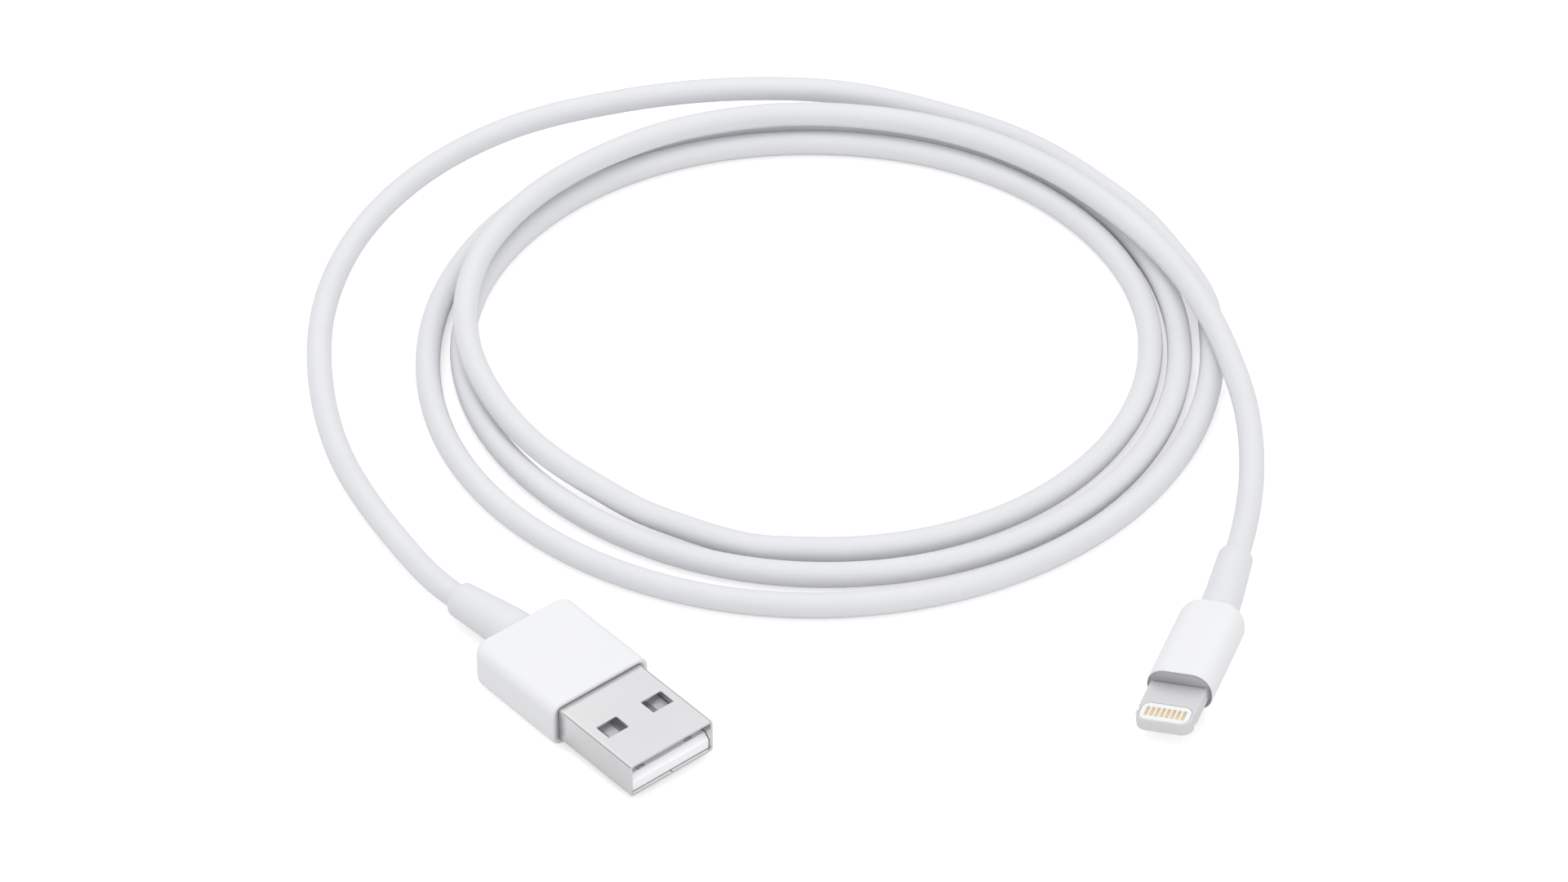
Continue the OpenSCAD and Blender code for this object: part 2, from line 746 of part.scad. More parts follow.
// a route that leaves its first point along way0 and reaches its last along way1
function smooth_route(list, way0, way1) =
    let (n = len(list),
        before = list[1] - 2 * norm(list[1] - list[0]) * way0,
        after = list[n - 2] + 2 * norm(list[n - 1] - list[n - 2]) * way1,
        whole = concat([before], list, [after]))
        [for (k = [0:(n - 1) * rings_per_step]) lifted(smooth(whole, k / rings_per_step))];

// a closed tube of triangles round a list of points, its ends square to way0 and way1
module tube(points, d, sides, way0, way1) {
    n = len(points);
    rings = [for (i = [0:n - 1])
        let (t = i == 0 ? way0 : i == n - 1 ? way1 : unit(points[i + 1] - points[i - 1]),
            u = unit(cross(t, [0, 0, 1])), v = cross(u, t))
            for (k = [0:sides - 1])
                points[i] + d / 2 * (cos(360 * k / sides - 90) * u + sin(360 * k / sides - 90) * v)];
    walls = [for (i = [0:n - 2], k = [0:sides - 1])
        let (a = i * sides + k, b = i * sides + (k + 1) % sides)
            each [[a, b, b + sides], [a, b + sides, a + sides]]];
    caps = [for (k = [1:sides - 2])
        each [[0, k + 1, k], [(n - 1) * sides, (n - 1) * sides + k, (n - 1) * sides + k + 1]]];
    polyhedron(points = rings, faces = concat(walls, caps), convexity = 10);
}

// where the cord leaves each strain relief, and which way it runs there
function bent_way(bend) = [-cos(bend), -sin(bend), 0];
usb_exit_way = turned(bent_way(usb_relief_bend), usb_yaw);
usb_exit = [usb_place.x, usb_place.y, usb_lift] + turned([usb_back_x, 0, 0], usb_yaw)
    + usb_relief_l * usb_exit_way;
tab_exit_way = turned(rolled(bent_way(tab_relief_bend), tab_roll), tab_yaw);
tab_exit = [tab_place.x, tab_place.y, tab_lift] + turned([boot_back_x, 0, 0], tab_yaw)
    + tab_relief_l * tab_exit_way;

// the loops, t turns clockwise from +X; the radii run on evenly past both ends
last_r = len(coil_radii) - 1;
coil_run = concat([2 * coil_radii[0] - coil_radii[1]], coil_radii,
    [2 * coil_radii[last_r] - coil_radii[last_r - 1]]);
function coil_point(t) =
    let (r = smooth(coil_run, t * 8))
        [coil_middle.x + r * cos(-360 * t), coil_middle.y + r * sin(-360 * t), cord_d / 2];

// the loops' two ends run straight for one cord diameter
coil_turns = last_r / 8;
coil_in_way = unit(coil_point(1 / 200) - coil_point(0));
coil_out_way = unit(coil_point(coil_turns) - coil_point(coil_turns - 1 / 200));
coil_start = coil_point(0) - cord_d * coil_in_way;
coil_end = coil_point(coil_turns) + cord_d * coil_out_way;
coil_points = concat([coil_start],
    [for (k = [0:coil_turns * rings_per_turn]) coil_point(k / rings_per_turn)], [coil_end]);

usb_lead_points = smooth_route(concat([usb_exit], usb_route, [coil_start]),
    usb_exit_way, coil_in_way);
tab_lead_points = smooth_route(concat([coil_end], tab_route, [tab_exit]),
    coil_out_way, -tab_exit_way);

function length_of(points) =
    let (steps = [for (i = [1:len(points) - 1]) norm(points[i] - points[i - 1])])
        steps * [for (s = steps) 1];

// the least gap between the loops, measured on points much closer than the rings
fine = 4 * rings_per_turn;
fine_coil = [for (k = [0:coil_turns * fine]) coil_point(k / fine)];
coil_gap = min([for (i = [0:len(fine_coil) - 1 - fine / 2], j = [i + fine / 2:len(fine_coil) - 1])
    norm(fine_coil[i] - fine_coil[j])]) - cord_d;

module usb_lead() {
    color("white") tube(usb_lead_points, cord_d, lead_sides, usb_exit_way, coil_in_way);
}

module cable_coil() {
    echo(coil_least_gap = coil_gap);
    echo(free_length = length_of(usb_lead_points) + length_of(coil_points)
        + length_of(tab_lead_points));
    echo(jacket_length = length_of(usb_lead_points) + length_of(coil_points)
        + length_of(tab_lead_points) + usb_relief_l + usb_back_wall + tab_relief_l
        + boot_end_wall);
    color("white") tube(coil_points, cord_d, coil_sides, coil_in_way, coil_out_way);
}

module tab_lead() {
    color("white") tube(tab_lead_points, cord_d, lead_sides, coil_out_way, -tab_exit_way);
}

usb_shell();
usb_tongue();
usb_rear_block();
usb_contact_vbus();
usb_contact_data_minus();
usb_contact_data_plus();
usb_contact_ground();
usb_solder_joints();
usb_wire_red();
usb_wire_white();
usb_wire_green();
usb_wire_black();
usb_can_top();
usb_can_bottom();
usb_crimp();
usb_braid();
usb_inner_mould();
usb_cover();
usb_cord_end();
usb_strain_relief();
tab_frame();
tab_insert();
tab_contacts_top();
tab_contacts_bottom();
tab_board();
tab_controller_chip();
tab_power_chip();
tab_capacitors();
tab_solder_joints();
tab_wire_red();
tab_wire_white();
tab_wire_green();
tab_wire_black();
tab_can_top();
tab_can_bottom();
tab_crimp();
tab_braid();
tab_inner_mould();
tab_collar();
tab_cover();
tab_cord_end();
tab_strain_relief();
usb_lead();
cable_coil();
tab_lead();
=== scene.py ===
import json
import math

import bmesh
import bpy
from mathutils import Matrix, Vector


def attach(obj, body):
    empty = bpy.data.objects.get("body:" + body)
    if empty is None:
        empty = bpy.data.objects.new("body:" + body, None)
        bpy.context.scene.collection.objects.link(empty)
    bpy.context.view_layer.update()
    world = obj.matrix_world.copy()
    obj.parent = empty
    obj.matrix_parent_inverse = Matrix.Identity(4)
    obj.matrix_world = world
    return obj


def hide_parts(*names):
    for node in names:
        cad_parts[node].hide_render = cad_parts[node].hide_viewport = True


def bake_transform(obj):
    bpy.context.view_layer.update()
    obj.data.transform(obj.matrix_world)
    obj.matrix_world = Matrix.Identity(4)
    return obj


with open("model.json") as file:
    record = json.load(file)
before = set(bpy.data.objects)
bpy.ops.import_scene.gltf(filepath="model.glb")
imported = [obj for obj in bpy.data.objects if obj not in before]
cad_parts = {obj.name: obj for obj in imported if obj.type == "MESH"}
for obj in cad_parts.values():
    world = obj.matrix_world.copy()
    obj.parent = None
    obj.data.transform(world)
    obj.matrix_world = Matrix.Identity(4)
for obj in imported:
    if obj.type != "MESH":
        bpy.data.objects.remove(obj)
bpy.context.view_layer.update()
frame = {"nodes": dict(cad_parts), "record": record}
scene = bpy.context.scene
scene.view_settings.view_transform = "Standard"
MM = 0.001


# ---------- camera: the photograph's view, along +Y and 39.6 degrees down ----------
LOOK_AT = Vector((-7.85, 43.4, 0)) * MM
DISTANCE = 731.6 * MM
ELEVATION = math.radians(39.56)
camera_data = bpy.data.cameras.new("camera")
camera_data.lens = 140.6
camera_data.sensor_width = 36
camera_data.clip_start = 0.01
camera_data.clip_end = 20
camera = bpy.data.objects.new("camera", camera_data)
scene.collection.objects.link(camera)
camera.location = LOOK_AT + DISTANCE * Vector((0, -math.cos(ELEVATION), math.sin(ELEVATION)))
camera.rotation_euler = (math.pi / 2 - ELEVATION, 0, 0)
scene.camera = camera


# ---------- places and sizes shared with the solids, in millimetres ----------
def plug_place(x, y, lift, yaw, roll=0):
    """A plug's own frame: its metal points along +X and its top is up before the roll."""
    return (Matrix.Translation((x, y, lift)) @ Matrix.Rotation(math.radians(yaw), 4, "Z")
        @ Matrix.Rotation(math.radians(roll), 4, "X"))


CORD_D = 3
CORE_R = 1
USB_PLACE = plug_place(-20.35, -15.9, 2.95, yaw=-49.3)
USB_SHELL_OUT = 12.6
USB_BACK = -27
USB_RELIEF_L = 10.1
USB_BEND = 6
TAB_PLACE = plug_place(34.55, -10.5, 2.7317, yaw=-110.5, roll=7)
TAB_OUT = 6.8
TAB_BACK = -20.5
TAB_RELIEF_L = 11
TAB_BEND = 5

USB_ROUTE = [
    (-53, 23, 2), (-60, 37.5, 1.5), (-63.5, 51.5, 1.5), (-64, 65.5, 2.5), (-60.5, 79, 3.5),
    (-53, 90.5, 4.5), (-42, 99.5, 5), (-28.5, 105, 5), (-14.5, 107.5, 5), (-0.5, 107.5, 4.5),
    (12, 105, 3), (23, 100, 2), (32, 91.5, 1.5), (39, 81, 1.5)]
TAB_ROUTE = [
    (-22, 26.5, 2), (-30, 31.5, 3), (-37, 37.5, 4), (-42, 45, 4.5), (-45.5, 54, 5),
    (-46.5, 64.5, 5), (-44.5, 75, 5), (-39, 85, 5), (-31, 93, 5), (-21, 99, 5), (-9, 102, 5),
    (3, 101.5, 5), (14.5, 98, 5), (24.5, 91.5, 5), (32.5, 83, 5), (39, 73, 5), (43.5, 62, 5),
    (46.5, 50.5, 4), (47.5, 41, 3.5), (47, 31, 2.5)]
COIL_MIDDLE = (-5.85, 61.8)
COIL_RADII = [50, 50.5, 50, 48, 45, 43, 42.5, 44.5, 46,
    46.5, 44.5, 42, 41, 39.5, 39, 41, 42.5, 42, 40]
RADII_PER_TURN = 8
POINTS_PER_TURN = 120
POINTS_PER_LEG = 10


# ---------- the cord's centreline ----------
def curve_at(values, u):
    """A Catmull-Rom curve through values, which hold one more at each end."""
    i = min(int(u), len(values) - 4)
    f = u - i
    a, b, c, d = values[i:i + 4]
    return 0.5 * (2 * b + (c - a) * f + (2 * a - 5 * b + 4 * c - d) * f * f
        + (3 * b - a - 3 * c + d) * f * f * f)


COIL_RUN = ([2 * COIL_RADII[0] - COIL_RADII[1]] + COIL_RADII
    + [2 * COIL_RADII[-1] - COIL_RADII[-2]])


def coil_point(t):
    """The loops' point after t turns, clockwise seen from above and flat on the table."""
    r = curve_at(COIL_RUN, t * RADII_PER_TURN)
    a = -2 * math.pi * t
    return Vector((COIL_MIDDLE[0] + r * math.cos(a), COIL_MIDDLE[1] + r * math.sin(a), CORD_D / 2))


def smooth_route(route, way0, way1):
    """A curve through a route, from way0 at its start to way1 at its end, above the table."""
    before = route[1] - 2 * (route[1] - route[0]).length * way0
    after = route[-2] + 2 * (route[-1] - route[-2]).length * way1
    whole = [before] + route + [after]
    count = (len(route) - 1) * POINTS_PER_LEG + 1
    made = [curve_at(whole, k / POINTS_PER_LEG) for k in range(count)]
    for p in made:
        p.z = max(p.z, CORD_D / 2)
    return made


def bent_way(place, bend):
    """The way a cord leaves its plug: straight back, turned sideways by bend degrees."""
    b = math.radians(bend)
    return place.to_3x3() @ Vector((-math.cos(b), -math.sin(b), 0))


usb_back = USB_PLACE @ Vector((USB_BACK, 0, 0))
usb_way = bent_way(USB_PLACE, USB_BEND)
usb_exit = usb_back + USB_RELIEF_L * usb_way
tab_back = TAB_PLACE @ Vector((TAB_BACK, 0, 0))
tab_way = bent_way(TAB_PLACE, TAB_BEND)
tab_exit = tab_back + TAB_RELIEF_L * tab_way

turns = (len(COIL_RADII) - 1) / RADII_PER_TURN
SHORT_WAY = 0.005
in_way = (coil_point(SHORT_WAY) - coil_point(0)).normalized()
out_way = (coil_point(turns) - coil_point(turns - SHORT_WAY)).normalized()
coil_start = coil_point(0) - CORD_D * in_way
coil_end = coil_point(turns) + CORD_D * out_way
usb_points = [usb_exit] + [Vector(p) for p in USB_ROUTE] + [coil_start]
tab_points = [coil_end] + [Vector(p) for p in TAB_ROUTE] + [tab_exit]
coil = [coil_point(k / POINTS_PER_TURN) for k in range(round(turns * POINTS_PER_TURN) + 1)]
cord_line = (smooth_route(usb_points, usb_way, in_way) + coil
    + smooth_route(tab_points, out_way, -tab_way))


# ---------- shape helpers ----------
def link(name, mesh, smooth=True):
    piece = bpy.data.objects.new(name, mesh)
    scene.collection.objects.link(piece)
    if smooth:
        mesh.shade_smooth()
    return piece


def skin(name, rings, caps=True):
    """A skin over rings of points in millimetres, which all have as many points."""
    bm = bmesh.new()
    rows = [[bm.verts.new(p * MM) for p in ring] for ring in rings]
    n = len(rows[0])
    for a, b in zip(rows, rows[1:]):
        for k in range(n):
            bm.faces.new((a[k], a[(k + 1) % n], b[(k + 1) % n], b[k]))
    if caps:
        bm.faces.new(list(reversed(rows[0])))
        bm.faces.new(rows[-1])
    bmesh.ops.recalc_face_normals(bm, faces=bm.faces)
    mesh = bpy.data.meshes.new(name)
    bm.to_mesh(mesh)
    bm.free()
    return link(name, mesh)


def loft(name, rings, place, caps=True):
    """A skin over rings of points in a plug's own frame."""
    return skin(name, [[place @ Vector(p) for p in ring] for ring in rings], caps)


def swept(name, line, radii, sides):
    """A closed round skin along a line of points, with a radius at each."""
    rings = []
    for i, (p, r) in enumerate(zip(line, radii)):
        way = (line[min(i + 1, len(line) - 1)] - line[max(i - 1, 0)]).normalized()
        u = way.cross(Vector((0, 0, 1))).normalized()
        v = u.cross(way)
        rings.append([p + r * (math.cos(a) * u + math.sin(a) * v)
            for a in (2 * math.pi * k / sides for k in range(sides))])
    return skin(name, rings)


CORNER_POWER = 2.1
CORNER_STEPS = 10
LEAST_CORNER = 0.001
NEXT_TO_NONE = 1e-9


def corner_part(c):
    """A cosine or sine, made that of a superellipse of CORNER_POWER."""
    return math.copysign(abs(c) ** (2 / CORNER_POWER), c) if abs(c) > NEXT_TO_NONE else 0


def section(x, w, h, r):
    """A ring at x: a box of w by h whose corners of size r follow a superellipse."""
    r = max(min(r, w / 2, h / 2), LEAST_CORNER)
    ring = []
    for quadrant in range(4):
        side_y = 1 if quadrant in (0, 3) else -1
        side_z = 1 if quadrant in (0, 1) else -1
        for k in range(CORNER_STEPS + 1):
            a = math.pi / 2 * (quadrant + k / CORNER_STEPS)
            ring.append((x, side_y * (w / 2 - r) + r * corner_part(math.cos(a)),
                side_z * (h / 2 - r) + r * corner_part(math.sin(a))))
    return ring


def refined(node, name, width):
    """A node's own solid with the small rounded edges of the real piece."""
    mesh = frame["nodes"][node].data.copy()
    mesh.name = name
    mesh.materials.clear()
    bm = bmesh.new()
    bm.from_mesh(mesh)
    bmesh.ops.remove_doubles(bm, verts=bm.verts, dist=1e-7)
    bmesh.ops.dissolve_limit(bm, angle_limit=math.radians(1), verts=bm.verts, edges=bm.edges)
    bm.to_mesh(mesh)
    bm.free()
    piece = link(name, mesh)
    bevel = piece.modifiers.new("edges", "BEVEL")
    bevel.width = width * MM
    bevel.segments = 3
    bevel.limit_method = "ANGLE"
    bevel.angle_limit = math.radians(35)
    bevel.harden_normals = True
    flat = piece.modifiers.new("normals", "WEIGHTED_NORMAL")
    flat.keep_sharp = True
    return piece


# ---------- shader nodes ----------
def feed(tree, node, sockets):
    """Sets inputs of a node to plain values, or links them to outputs of other nodes."""
    for key, value in sockets.items():
        if isinstance(value, bpy.types.NodeSocket):
            tree.links.new(value, node.inputs[key])
        else:
            node.inputs[key].default_value = value
    return node


def put(tree, kind, sockets):
    """A new node with its inputs fed."""
    return feed(tree, tree.nodes.new("ShaderNode" + kind), sockets)


def combine(tree, operation, *values):
    """The output of a math node."""
    node = tree.nodes.new("ShaderNodeMath")
    node.operation = operation
    return feed(tree, node, dict(enumerate(values))).outputs[0]


def ramp(tree, value, at_low, at_high, low=0, high=1, curve="LINEAR"):
    """Goes from at_low to at_high while value goes from low to high."""
    node = tree.nodes.new("ShaderNodeMapRange")
    node.interpolation_type = curve
    return feed(tree, node, {"Value": value, "From Min": low, "From Max": high,
        "To Min": at_low, "To Max": at_high}).outputs["Result"]


# ---------- materials ----------
FINE_DETAIL = 6
BROAD_SCALE = 60
BROAD_DETAIL = 3
TONE_STOPS = (0.3, 0.7)
PAINTED_SHADE_SHIFT = 0.25
RELIEF_DEPTH = 0.00002


def material(name, dark, light, rough, metallic=0, grain=900, stretch=(1, 1, 1), bump=0.02,
        specular=0.5, cells=False, painted_shade=None):
    """Two close tones, a changing roughness and a fine relief, all from noise in the piece.

    Given a pair of heights in metres, painted shade: the dark tone goes over to the light one
    between them, so the piece is darker lower down.
    """
    made = bpy.data.materials.new(name)
    made.use_nodes = True
    tree = made.node_tree
    place = put(tree, "TexCoord", {}).outputs["Object"]
    fine = put(tree, "Mapping", {"Vector": place, "Scale": stretch}).outputs["Vector"]
    if cells:
        height = put(tree, "TexVoronoi", {"Vector": fine, "Scale": grain}).outputs["Distance"]
    else:
        height = put(tree, "TexNoise",
            {"Vector": fine, "Scale": grain, "Detail": FINE_DETAIL}).outputs["Fac"]
    tone = put(tree, "TexNoise",
        {"Vector": place, "Scale": BROAD_SCALE, "Detail": BROAD_DETAIL}).outputs["Fac"]
    # painted shade: lower down, the tone is pushed towards the dark one
    if painted_shade:
        up = put(tree, "SeparateXYZ", {"Vector": place}).outputs["Z"]
        tone = combine(tree, "ADD", tone, ramp(tree, up, -PAINTED_SHADE_SHIFT, PAINTED_SHADE_SHIFT, *painted_shade))
    tones = put(tree, "ValToRGB", {"Fac": tone})
    for stop, position, colour in zip(tones.color_ramp.elements, TONE_STOPS, (dark, light)):
        stop.position = position
        stop.color = (*colour, 1)
    relief = put(tree, "Bump", {"Height": height, "Strength": bump, "Distance": RELIEF_DEPTH})
    feed(tree, tree.nodes["Principled BSDF"], {
        "Base Color": tones.outputs["Color"], "Roughness": ramp(tree, height, *rough),
        "Normal": relief.outputs["Normal"], "Metallic": metallic,
        "Specular IOR Level": specular})
    return made


FINISHES = {
    "nickel_plate": dict(dark=(0.76, 0.76, 0.775), light=(0.81, 0.81, 0.82), rough=(0.15, 0.22),
        metallic=1, grain=2500, bump=0.03),
    "satin_nickel": dict(dark=(0.76, 0.76, 0.775), light=(0.80, 0.80, 0.81), rough=(0.45, 0.58),
        metallic=0.65, grain=3500, bump=0.015),
    "gold_plate": dict(dark=(0.82, 0.67, 0.41), light=(0.90, 0.76, 0.50), rough=(0.4, 0.55),
        metallic=1, grain=4000, bump=0.03),
    "white_plastic": dict(dark=(0.88, 0.885, 0.90), light=(0.90, 0.905, 0.92), rough=(0.35, 0.5),
        grain=1500, specular=0.35),
    "insert_white": dict(dark=(0.92, 0.925, 0.935), light=(0.94, 0.945, 0.955),
        rough=(0.45, 0.6), grain=1800, specular=0.4),
    # painted shade: this grey stands for the shade on the tab plug's front face, and darkens lower
    # down, towards the tab's top
    "grey_plastic": dict(dark=(0.36, 0.36, 0.37), light=(0.51, 0.51, 0.52), rough=(0.5, 0.65),
        grain=1800, bump=0.03, specular=0.3, painted_shade=(0.0034, 0.0048)),
    # painted shade: this light grey stands for the shade in the USB cover's mouth
    "light_grey_plastic": dict(dark=(0.64, 0.64, 0.65), light=(0.69, 0.69, 0.70),
        rough=(0.5, 0.65), grain=1800, bump=0.03, specular=0.3),
    "white_jacket": dict(dark=(0.80, 0.806, 0.83), light=(0.83, 0.836, 0.86), rough=(0.32, 0.48),
        grain=2200, bump=0.05, specular=0.35),
    "ivory_plastic": dict(dark=(0.74, 0.71, 0.62), light=(0.80, 0.77, 0.69), rough=(0.45, 0.6)),
    "tinned_sheet": dict(dark=(0.52, 0.52, 0.53), light=(0.64, 0.64, 0.65), rough=(0.3, 0.5),
        metallic=1, grain=1800, bump=0.1),
    "tinned_braid": dict(dark=(0.50, 0.47, 0.42), light=(0.66, 0.62, 0.56), rough=(0.35, 0.55),
        metallic=1, grain=6000, stretch=(1, 1, 0.4), bump=0.6, cells=True),
    "solder": dict(dark=(0.55, 0.55, 0.57), light=(0.68, 0.68, 0.70), rough=(0.2, 0.45),
        metallic=1, bump=0.2),
    "board_green": dict(dark=(0.02, 0.15, 0.06), light=(0.04, 0.22, 0.10), rough=(0.3, 0.45),
        bump=0.1),
    "chip_black": dict(dark=(0.02, 0.02, 0.022), light=(0.04, 0.04, 0.042), rough=(0.5, 0.7),
        bump=0.2),
    "ceramic_tan": dict(dark=(0.45, 0.33, 0.20), light=(0.58, 0.44, 0.29), rough=(0.4, 0.6)),
    "wire_red": dict(dark=(0.50, 0.02, 0.02), light=(0.62, 0.04, 0.04), rough=(0.35, 0.5)),
    "wire_white": dict(dark=(0.78, 0.78, 0.77), light=(0.85, 0.85, 0.84), rough=(0.35, 0.5)),
    "wire_green": dict(dark=(0.02, 0.30, 0.06), light=(0.05, 0.40, 0.10), rough=(0.35, 0.5)),
    "wire_black": dict(dark=(0.02, 0.02, 0.02), light=(0.05, 0.05, 0.05), rough=(0.35, 0.5)),
}
MATERIALS = {name: material(name, **finish) for name, finish in FINISHES.items()}

slots = {s["node"]: s["material_slot"] for s in frame["record"]["subparts"]}
for name, node in frame["nodes"].items():
    node.data.materials.clear()
    node.data.materials.append(MATERIALS[slots[name]])


def dress(piece, slot, *nodes):
    """Gives a piece its material and hides the CAD nodes that it stands for."""
    piece.data.materials.clear()
    piece.data.materials.append(MATERIALS[slot])
    if nodes:
        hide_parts(*nodes)
    return piece


# ---------- the cord ----------
LEAST_STEP = 0.01
cord_curve = bpy.data.curves.new("cord_jacket", "CURVE")
cord_curve.dimensions = "3D"
cord_curve.twist_mode = "Z_UP"
cord_curve.bevel_depth = CORD_D / 2 * MM
cord_curve.bevel_resolution = 8
cord_curve.use_fill_caps = True
spline = cord_curve.splines.new("POLY")
kept = [p for p, q in zip(cord_line, cord_line[1:]) if (q - p).length > LEAST_STEP]
kept.append(cord_line[-1])
spline.points.add(len(kept) - 1)
for point, p in zip(spline.points, kept):
    point.co = (*(p * MM), 1)
spline.use_smooth = True
cord = bpy.data.objects.new("cord_jacket", cord_curve)
scene.collection.objects.link(cord)
dress(cord, "white_jacket", "usb_lead", "cable_coil", "tab_lead")
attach(cord, "cable")


# ---------- strain reliefs and the cord's ends inside them ----------
def relief_line(back, place, way, length, stations):
    """Leaves the cover square to its back and reaches the exit along the free cord."""
    out = place.to_3x3() @ Vector((-1, 0, 0))
    line = []
    for s in stations:
        if s <= 0:
            line.append(back + s * out)
            continue
        f = min(s / length, 1)
        h00 = 2 * f ** 3 - 3 * f ** 2 + 1
        h10 = f ** 3 - 2 * f ** 2 + f
        h01 = -2 * f ** 3 + 3 * f ** 2
        h11 = f ** 3 - f ** 2
        line.append(h00 * back + h10 * length * out + h01 * (back + length * way)
            + h11 * length * way)
    return line


def radius_at(profile, s):
    """The radius at s, from a profile of pairs of station and radius."""
    for (s0, r0), (s1, r1) in zip(profile, profile[1:]):
        if s <= s1:
            f = (s - s0) / (s1 - s0)
            return r0 + (r1 - r0) * f
    return profile[-1][1]


ROOT_STATIONS = [-0.3, 0, 0.05, 0.12, 0.25, 0.5, 1]
ROOT_END = ROOT_STATIONS[-1]
SLEEVE_STEPS = 16
SLEEVE_SIDES = 40
TIP_R = 0.6
TIP_STEPS = 7
TIP_GAP = 0.02
END_STEPS = 14
END_SIDES = 32
CORE_STEP = 0.01


def relief(name, body, back, place, way, length, profile, node, end_node, core_x, wall):
    """A tapered sleeve with a rounded tip, and the cord's end inside it.

    The jacket goes through the cover's back wall, which is wall thick, and the core ends core_x
    in front of the cover's back.
    """
    stations = ROOT_STATIONS + [ROOT_END + k * (length - TIP_R - ROOT_END) / SLEEVE_STEPS
        for k in range(1, SLEEVE_STEPS + 1)]
    radii = [radius_at(profile, s) for s in stations]
    edge = radii[-1]
    for k in range(1, TIP_STEPS + 1):
        a = math.pi / 2 * k / TIP_STEPS
        stations.append(length - TIP_R + TIP_R * math.sin(a))
        radii.append(edge - TIP_R + TIP_R * math.cos(a))
    stations.append(length)
    radii.append(CORD_D / 2 + TIP_GAP)
    sleeve = swept(name, relief_line(back, place, way, length, stations), radii, SLEEVE_SIDES)
    dress(sleeve, "white_jacket", node)
    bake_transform(sleeve)
    jacket = [-wall] + [k * length / END_STEPS for k in range(END_STEPS + 1)]
    ends = [-core_x, -wall - CORE_STEP] + jacket
    thick = [CORE_R, CORE_R] + [CORD_D / 2] * len(jacket)
    line = relief_line(back, place, way, length, ends)
    end = swept(name + "_cord", line, thick, END_SIDES)
    dress(end, "white_jacket", end_node)
    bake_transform(end)


USB_RELIEF = [(-0.3, 2.85), (0, 2.93), (0.05, 2.87), (0.12, 2.83), (0.25, 2.79), (1.6, 2.72),
    (2.6, 2.62), (4.6, 2.46), (6.6, 2.33), (9.5, 2.16)]
TAB_RELIEF = [(-0.3, 2.3), (0, 2.44), (0.05, 2.4), (0.12, 2.37), (0.25, 2.35), (1, 2.32),
    (4, 2.23), (8, 2.13), (10.4, 2.07)]
relief("usb_relief_sleeve", "usb_plug", usb_back, USB_PLACE, usb_way, USB_RELIEF_L, USB_RELIEF,
    "usb_strain_relief", "usb_cord_end", core_x=4.25, wall=1)
relief("tab_relief_sleeve", "tab_plug", tab_back, TAB_PLACE, tab_way, TAB_RELIEF_L, TAB_RELIEF,
    "tab_strain_relief", "tab_cord_end", core_x=2.75, wall=0.8)


# ---------- the white covers ----------
FRONT_STEPS = 4
SIDE_STEPS = 12
BACK_STEPS = 14
SLOPE_STOPS = (0.02, 0.5, 0.9, 1)
LEAST_FRONT_R = 0.2
LEAST_BACK_R = 0.3


def rounding(r, into):
    """How far a rounded edge of radius r has come in, into millimetres past its start."""
    return r - math.sqrt(max(r ** 2 - into ** 2, 0))


def cover(name, place, front, back, size, hole, groove, rim, front_r, back_plan_r, back_edge_r,
        deep):
    """A shell whose open front slopes in from a thin rim to the hole that holds the metal.

    Size and hole are width, height and corner radius. Groove is how deep the slope goes in and
    deep how deep the hole is. The back's edges are rounded by back_plan_r at the sides and by
    back_edge_r at the top and the bottom.
    """
    w, h, r = size
    hole_w, hole_h, hole_r = hole
    mouth_w, mouth_h, mouth_r = w - 2 * rim, h - 2 * rim, max(r - rim, LEAST_FRONT_R)
    rings = [section(front - deep, *hole), section(front - groove, *hole)]
    for f in SLOPE_STOPS:
        rings.append(section(front - groove * (1 - f), hole_w + f * (mouth_w - hole_w),
            hole_h + f * (mouth_h - hole_h), hole_r + f * (mouth_r - hole_r)))
    for k in range(FRONT_STEPS + 1):
        a = math.pi / 2 * k / FRONT_STEPS
        along, inset = front_r - front_r * math.cos(a), front_r - front_r * math.sin(a)
        rings.append(section(front - along, w - 2 * inset, h - 2 * inset,
            max(r - inset, LEAST_FRONT_R)))
    straight = front - back - front_r - back_plan_r
    for k in range(1, SIDE_STEPS):
        rings.append(section(front - front_r - k * straight / SIDE_STEPS, w, h, r))
    for k in range(BACK_STEPS + 1):
        x = back + back_plan_r - back_plan_r * math.sin(math.pi / 2 * k / BACK_STEPS)
        side = rounding(back_plan_r, back_plan_r - (x - back))
        top = rounding(back_edge_r, max(back_edge_r - (x - back), 0))
        rings.append(section(x, w - 2 * side, h - 2 * top, max(r - top, LEAST_BACK_R)))
    return loft(name, rings, place)


SHADE_FACE_GAP = 0.02
SHADE_FACE_THICK = 0.06


def shade_face(name, place, front, outer, inner, depth):
    """The grey face between a cover's rim and the metal, dished in by depth; its grey is painted
    shade, for the shade that falls in the cover's mouth.
    """
    x = front - SHADE_FACE_GAP
    rings = [section(x, *outer), section(x - depth, *inner),
        section(x - depth - SHADE_FACE_THICK, *inner), section(x - SHADE_FACE_THICK, *outer)]
    return loft(name, rings + rings[:1], place, caps=False)


usb_cover = cover("usb_cover_body", USB_PLACE, -USB_SHELL_OUT, USB_BACK, size=(14, 5.9, 1.5),
    hole=(12.1, 4.6, 0.45), groove=0.16, rim=0.35, front_r=0.2, back_plan_r=1.2,
    back_edge_r=0.55, deep=3)
dress(usb_cover, "white_plastic", "usb_cover")
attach(usb_cover, "usb_plug")
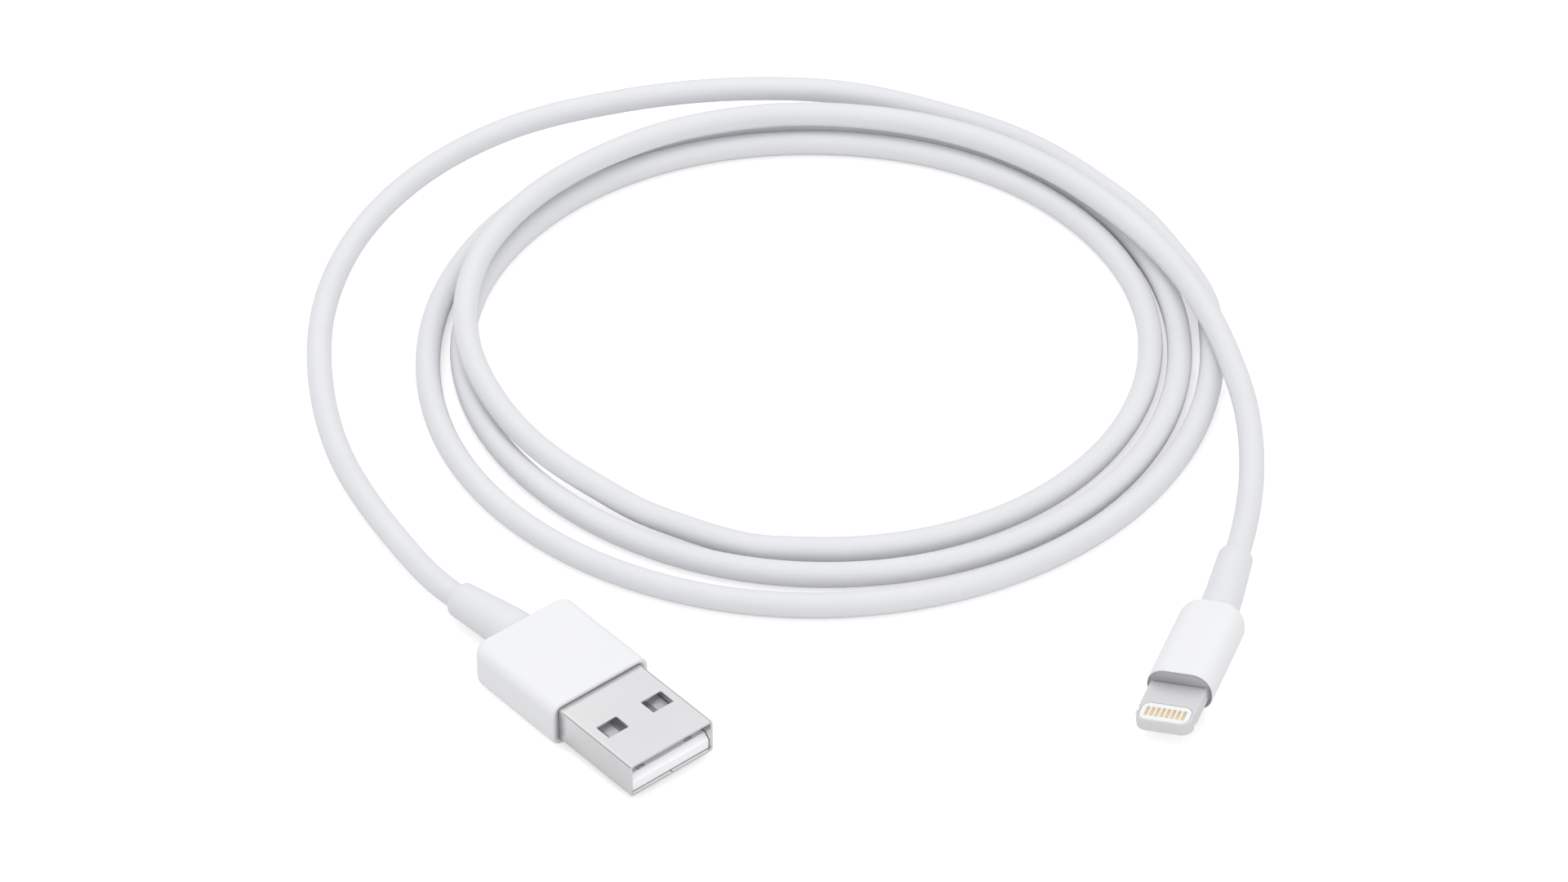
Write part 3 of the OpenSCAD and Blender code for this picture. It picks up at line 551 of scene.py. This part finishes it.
# painted shade: a light grey face in the USB cover's mouth stands for the shade there
usb_mouth_shade = shade_face("usb_cover_mouth_shade", USB_PLACE, -USB_SHELL_OUT, outer=(13.3, 5.2, 1.15),
    inner=(12.08, 4.58, 0.44), depth=0.1)
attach(dress(usb_mouth_shade, "light_grey_plastic"), "usb_plug")
tab_cover = cover("tab_cover_body", TAB_PLACE, -TAB_OUT, TAB_BACK, size=(7.8, 5.1, 2.4),
    hole=(7.4, 4.7, 2.2), groove=0.12, rim=0.07, front_r=0.05, back_plan_r=1.6,
    back_edge_r=0.7, deep=0.9)
dress(tab_cover, "white_plastic", "tab_cover")
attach(tab_cover, "tab_plug")
# painted shade: a grey face in the tab cover's mouth, darker towards the tab, stands for the shade
# there
tab_mouth_shade = shade_face("tab_cover_mouth_shade", TAB_PLACE, -TAB_OUT, outer=(7.64, 4.94, 2.32),
    inner=(7.25, 4.55, 2.13), depth=0.02)
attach(dress(tab_mouth_shade, "grey_plastic"), "tab_plug")


# ---------- metal and plastic ends with their fine rounded edges ----------
USB_INSIDE = {"usb_tongue": 0.25, "usb_contact_vbus": 0.04, "usb_contact_data_minus": 0.04,
    "usb_contact_data_plus": 0.04, "usb_contact_ground": 0.04}
EDGES = {
    "usb_plug": {"usb_shell": 0.06, **USB_INSIDE},
    "tab_plug": {"tab_frame": 0.05, "tab_insert": 0.1, "tab_contacts_top": 0.03,
        "tab_contacts_bottom": 0.03, "tab_collar": 0.04},
}
for body, widths in EDGES.items():
    for node, width in widths.items():
        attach(dress(refined(node, node + "_fine", width), slots[node], node), body)


# ---------- floor ----------
def seen(tree, mirrored=1.0):
    """1 for rays from the camera or through glass, and the share mirrored for glossy rays."""
    path = put(tree, "LightPath", {}).outputs
    first = combine(tree, "MAXIMUM", path["Is Camera Ray"], path["Is Transmission Ray"])
    return combine(tree, "MULTIPLY_ADD", path["Is Glossy Ray"], mirrored, first)


# a hundredth of a millimetre under the object, so that no face of it lies in the floor
FLOOR_Z = -0.00001
FLOOR_HALF = 4
FLOOR_GLOW = 0.5
CORNERS = ((-1, -1), (1, -1), (1, 1), (-1, 1))
floor_mesh = bpy.data.meshes.new("floor")
floor_mesh.from_pydata([(FLOOR_HALF * x, FLOOR_HALF * y, FLOOR_Z) for x, y in CORNERS], [],
    [(0, 1, 2, 3)])
floor = link("floor", floor_mesh, False)
floor_material = bpy.data.materials.new("floor")
floor_material.use_nodes = True
tree = floor_material.node_tree
tree.nodes.clear()
diffuse = put(tree, "BsdfDiffuse", {"Color": (0.8, 0.8, 0.8, 1)})
strength = combine(tree, "MULTIPLY", seen(tree, mirrored=0.1), FLOOR_GLOW)
glow = put(tree, "Emission", {"Strength": strength})
both = put(tree, "AddShader", {0: diffuse.outputs[0], 1: glow.outputs[0]})
put(tree, "OutputMaterial", {"Surface": both.outputs[0]})
floor.data.materials.append(floor_material)


# ---------- world ----------
world = bpy.data.worlds.new("world")
scene.world = world
world.use_nodes = True
tree = world.node_tree
level = ramp(tree, seen(tree), at_low=0.8, at_high=1.0)
ways = put(tree, "TexCoord", {}).outputs["Generated"]
up = put(tree, "SeparateXYZ", {"Vector": ways}).outputs["Z"]
# metal mirrors a dim band low in the sky, between the pale floor and the soft light above
DIM = 0.65
rise = ramp(tree, up, -DIM, 0, low=0.28, high=0.6, curve="SMOOTHSTEP")
zenith = ramp(tree, up, 0, 0.1, low=0.7, high=0.85, curve="SMOOTHSTEP")
# under the floor's level the surroundings are even again, for metal seen from below
under = ramp(tree, up, DIM, 0, low=-0.2, high=-0.05)
sky = combine(tree, "ADD", combine(tree, "ADD", rise, under), zenith)
glossy = put(tree, "LightPath", {}).outputs["Is Glossy Ray"]
feed(tree, tree.nodes["Background"], {
    "Color": (1, 1, 1, 1), "Strength": combine(tree, "MULTIPLY_ADD", glossy, sky, level)})


# ---------- lamps ----------
def lamp(name, place, size, energy, only=()):
    """A round soft lamp aimed at the middle of the picture; it may light only some pieces."""
    data = bpy.data.lights.new(name, "AREA")
    data.shape = "DISK"
    data.size = size
    data.energy = energy
    made = bpy.data.objects.new(name, data)
    scene.collection.objects.link(made)
    made.location = place
    made.rotation_euler = (LOOK_AT - Vector(place)).to_track_quat("-Z", "Y").to_euler()
    if only:
        lit = bpy.data.collections.new(name + "_lit")
        for piece in only:
            lit.objects.link(piece)
        made.light_linking.receiver_collection = lit
    return made


key = lamp("key", (-0.2, 0.25, 1.0), size=0.6, energy=2.3)
# metal mirrors the even surroundings and not the lamp itself
key.visible_glossy = False
lamp("fill", (0.7, -0.75, 0.42), size=0.5, energy=1.0)
# the plug's white inside is seen through its mouth and windows, where little light gets in
lamp("inside", (0, -0.45, 0.9), size=0.5, energy=3.5,
    only=[scene.objects[node + "_fine"] for node in USB_INSIDE])
